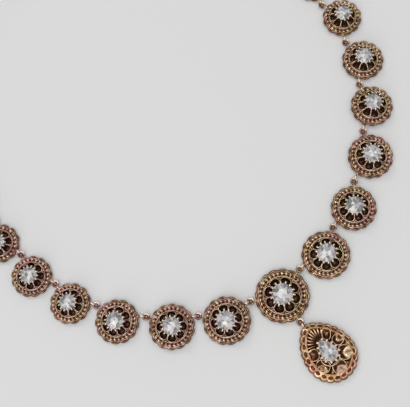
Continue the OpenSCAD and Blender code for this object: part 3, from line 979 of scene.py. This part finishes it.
def pendant_coronet(m):
    """The ribbed wall under the pear-shaped stone with its claws, and a curved wire beside it."""
    steps = DROP_CLAWS * 6
    share = np.arange(steps) / steps
    ridge = np.clip(np.cos(TAU * share * DROP_CLAWS), 0, 1) ** 1.5
    rows, shade = [], []
    for q in np.linspace(0, 1, 6):
        wall = beside_stone(share, 0.28 - 0.35 * (1 - q) + 0.12 * ridge)
        rows.append(raised(wall, DROP_CONE_FOOT + DROP_CONE_RISE * q))
        # Painted shade darkens the grooves between the ribs and the wall's foot.
        shade.append(np.clip(0.85 - 0.6 * ridge - 0.35 * q, 0, 1))
    rows.append(raised(beside_stone(share, -0.05), DROP_CONE_FOOT + DROP_CONE_RISE))
    shade.append(0.3)
    m.strip(rows, shade)
    outset, high, thick, patina = DROP_CLAW.T
    for far in DROP_LENGTH * np.arange(DROP_CLAWS) / DROP_CLAWS:
        spot, t = on_pear(DROP, far)
        out = np.array([math.cos(t), math.sin(t)])
        path = raised(spot + DROP_SHIFT + np.outer(outset, out), high)
        m.tube(path, thick, 7, patina, up=(-out[1], out[0], 0))
    arc = np.linspace(ARC_FROM, ARC_TO, 30)
    bow = np.sin((arc - ARC_FROM) / (ARC_TO - ARC_FROM) * math.pi) ** 0.7
    m.tube(raised(beside_stone(arc, 0.45 + 0.85 * bow), ARC_HIGH), PENDANT_WIRE, 7, -0.2)


def add_pendant():
    at = np.array([PENDANT_AT[0], PENDANT_AT[1] + LOOP_Y])
    turn = math.radians(PENDANT_TURN)
    move = Matrix.Translation((at[0] * MM, at[1] * MM, 0))
    matrix = move @ Matrix.Rotation(turn, 4, "Z") @ Matrix.Scale(MM, 4)
    gold = Metal(0.5, 1.0)
    pendant_edge(gold)
    pendant_ground(gold)
    for cup in CUPS:
        pendant_cup(gold, *cup)
    pendant_corners(gold)
    pendant_pleats(gold)
    pendant_coronet(gold)
    gold.moved(matrix)
    upright_ring(gold, PENDANT_NEXT, np.array([0.0, -1.0]))
    point = at + PENDANT.apart * np.array([-math.sin(turn), math.cos(turn)])
    short_wire(gold, PENDANT_NEXT + np.array([0, -LINK_R]), point, 1.3, 1.5)
    hand_over(gold.build("pendant_cluster"), "pendant_setting")
    outline = on_pear(DROP, DROP_LENGTH * np.arange(STONE_SIDES) / STONE_SIDES)[0] + DROP_SHIFT
    middle = (DROP_SHIFT[0], DROP_SHIFT[1] + (DROP.apart + DROP.point_r - DROP.round_r) / 2)
    seat = matrix @ Matrix.Translation((0, 0, DROP_GIRDLE))
    add_stone("gem_pendant", "pendant_stone", outline, middle, DROP.round_r, seat, reflection_dimming=2.2)


add_pendant()

# The clasp's surface from its foot up and in over its top: inset from the edge, height and darkness, with
# painted shade at the foot and in the step on top
CLASP_ROWS = [
    (0.35, 0.0, 0.68),
    (0.0, 0.3, 0.48),
    (0.0, CLASP_HEIGHT - 0.45, 0.28),
    (0.12, CLASP_HEIGHT - 0.15, 0.18),
    (0.45, CLASP_HEIGHT, 0.18),
    (0.75, CLASP_HEIGHT - 0.02, 0.28),
    (0.85, CLASP_HEIGHT - 0.3, 0.78),
    (1.05, CLASP_HEIGHT - 0.3, 0.58),
    (1.6, CLASP_HEIGHT - 0.18, 0.33),
    (2.98, CLASP_HEIGHT - 0.15, 0.28),
]
CLASP_END_STEPS = 25


def clasp_metal():
    """A plain closed clasp with round ends, along X."""
    m = Metal(0.3)
    half = (CLASP_LENGTH - CLASP_WIDTH) / 2
    right = np.linspace(-math.pi / 2, math.pi / 2, CLASP_END_STEPS)
    t = np.concatenate([right, right + math.pi])
    shift = np.repeat([[half, 0], [-half, 0]], CLASP_END_STEPS, axis=0)
    rows = []
    for inset, z, _ in CLASP_ROWS:
        rows.append(raised(shift + polar(CLASP_WIDTH / 2 - inset, t, 0)[:, :2], z))
    m.strip(rows, [patina for *_, patina in CLASP_ROWS], True)
    m.grid(np.stack([rows[0], rows[0] * [1, 0.01, 1]]), 0.5)
    return m


def add_clasp():
    y = LOOP_Y + BACK_DEPTH
    gold = clasp_metal().moved(Matrix.Translation((0, y * MM, 0)) @ Matrix.Scale(MM, 4))
    for side in (1, -1):
        ring, e = next_ring_at(side, PAIRS), way(side, PAIRS)
        upright_ring(gold, ring, e)
        end = np.array([side * (CLASP_LENGTH - CLASP_WIDTH) / 2, y])
        short_wire(gold, ring + LINK_R * e, end, LINK_Z, LINK_Z)
    hand_over(gold.build("clasp_body"), "clasp")


add_clasp()

# Floor, light and camera. Places are in metres, the camera's in millimetres
FLOOR_HALF = 3.0
WORLD_STRENGTH = 0.45
# Lamps that face the middle of the necklace: name, place, size and power
LAMPS = [
    ("panel", (-0.75, -0.5, 1.0), 1.4, 5),
    ("spark", (-0.18, 0.95, 1.0), 0.25, 2),
    ("top", (0.1, -0.1, 1.6), 1.6, 6),
]
CAMERA_AT = Vector((-18.71, LOOP_Y - 92.31, 281)) * MM
LOOK_AT = Vector((-4.89, LOOP_Y - 28.88, 0)) * MM
PICTURE_UP = Vector((0.554, 0.8058, 0.2092))
SENSOR_WIDTH, LENS = 36, 79.3


def add_floor():
    mesh = bpy.data.meshes.new("floor")
    s = FLOOR_HALF
    mesh.from_pydata([(-s, -s, 0), (s, -s, 0), (s, s, 0), (-s, s, 0)], [], [(0, 1, 2, 3)])
    mesh.materials.append(floor_material())
    obj = in_scene("floor", mesh)


def add_light():
    world = bpy.data.worlds.new("studio")
    world.use_nodes = True
    background = world.node_tree.nodes["Background"]
    background.inputs["Color"].default_value = (1, 1, 1, 1)
    background.inputs["Strength"].default_value = WORLD_STRENGTH
    bpy.context.scene.world = world
    for name, at, size, power in LAMPS:
        light = bpy.data.lights.new(name, "AREA")
        light.shape = "DISK"
        light.size = size
        light.energy = power
        lamp = in_scene(name, light)
        lamp.location = at
        lamp.rotation_euler = (-Vector(at)).to_track_quat("-Z", "Y").to_euler()


def add_camera():
    data = bpy.data.cameras.new("camera")
    data.sensor_fit = "HORIZONTAL"
    data.sensor_width = SENSOR_WIDTH
    data.lens = LENS
    data.clip_start = 0.01
    forward = (LOOK_AT - CAMERA_AT).normalized()
    right = forward.cross(PICTURE_UP).normalized()
    turned = Matrix((right, right.cross(forward), -forward)).transposed().to_4x4()
    camera = in_scene("camera", data)
    camera.matrix_world = Matrix.Translation(CAMERA_AT) @ turned
    bpy.context.scene.camera = camera


add_floor()
add_light()
add_camera()
bpy.context.scene.view_settings.view_transform = "Standard"
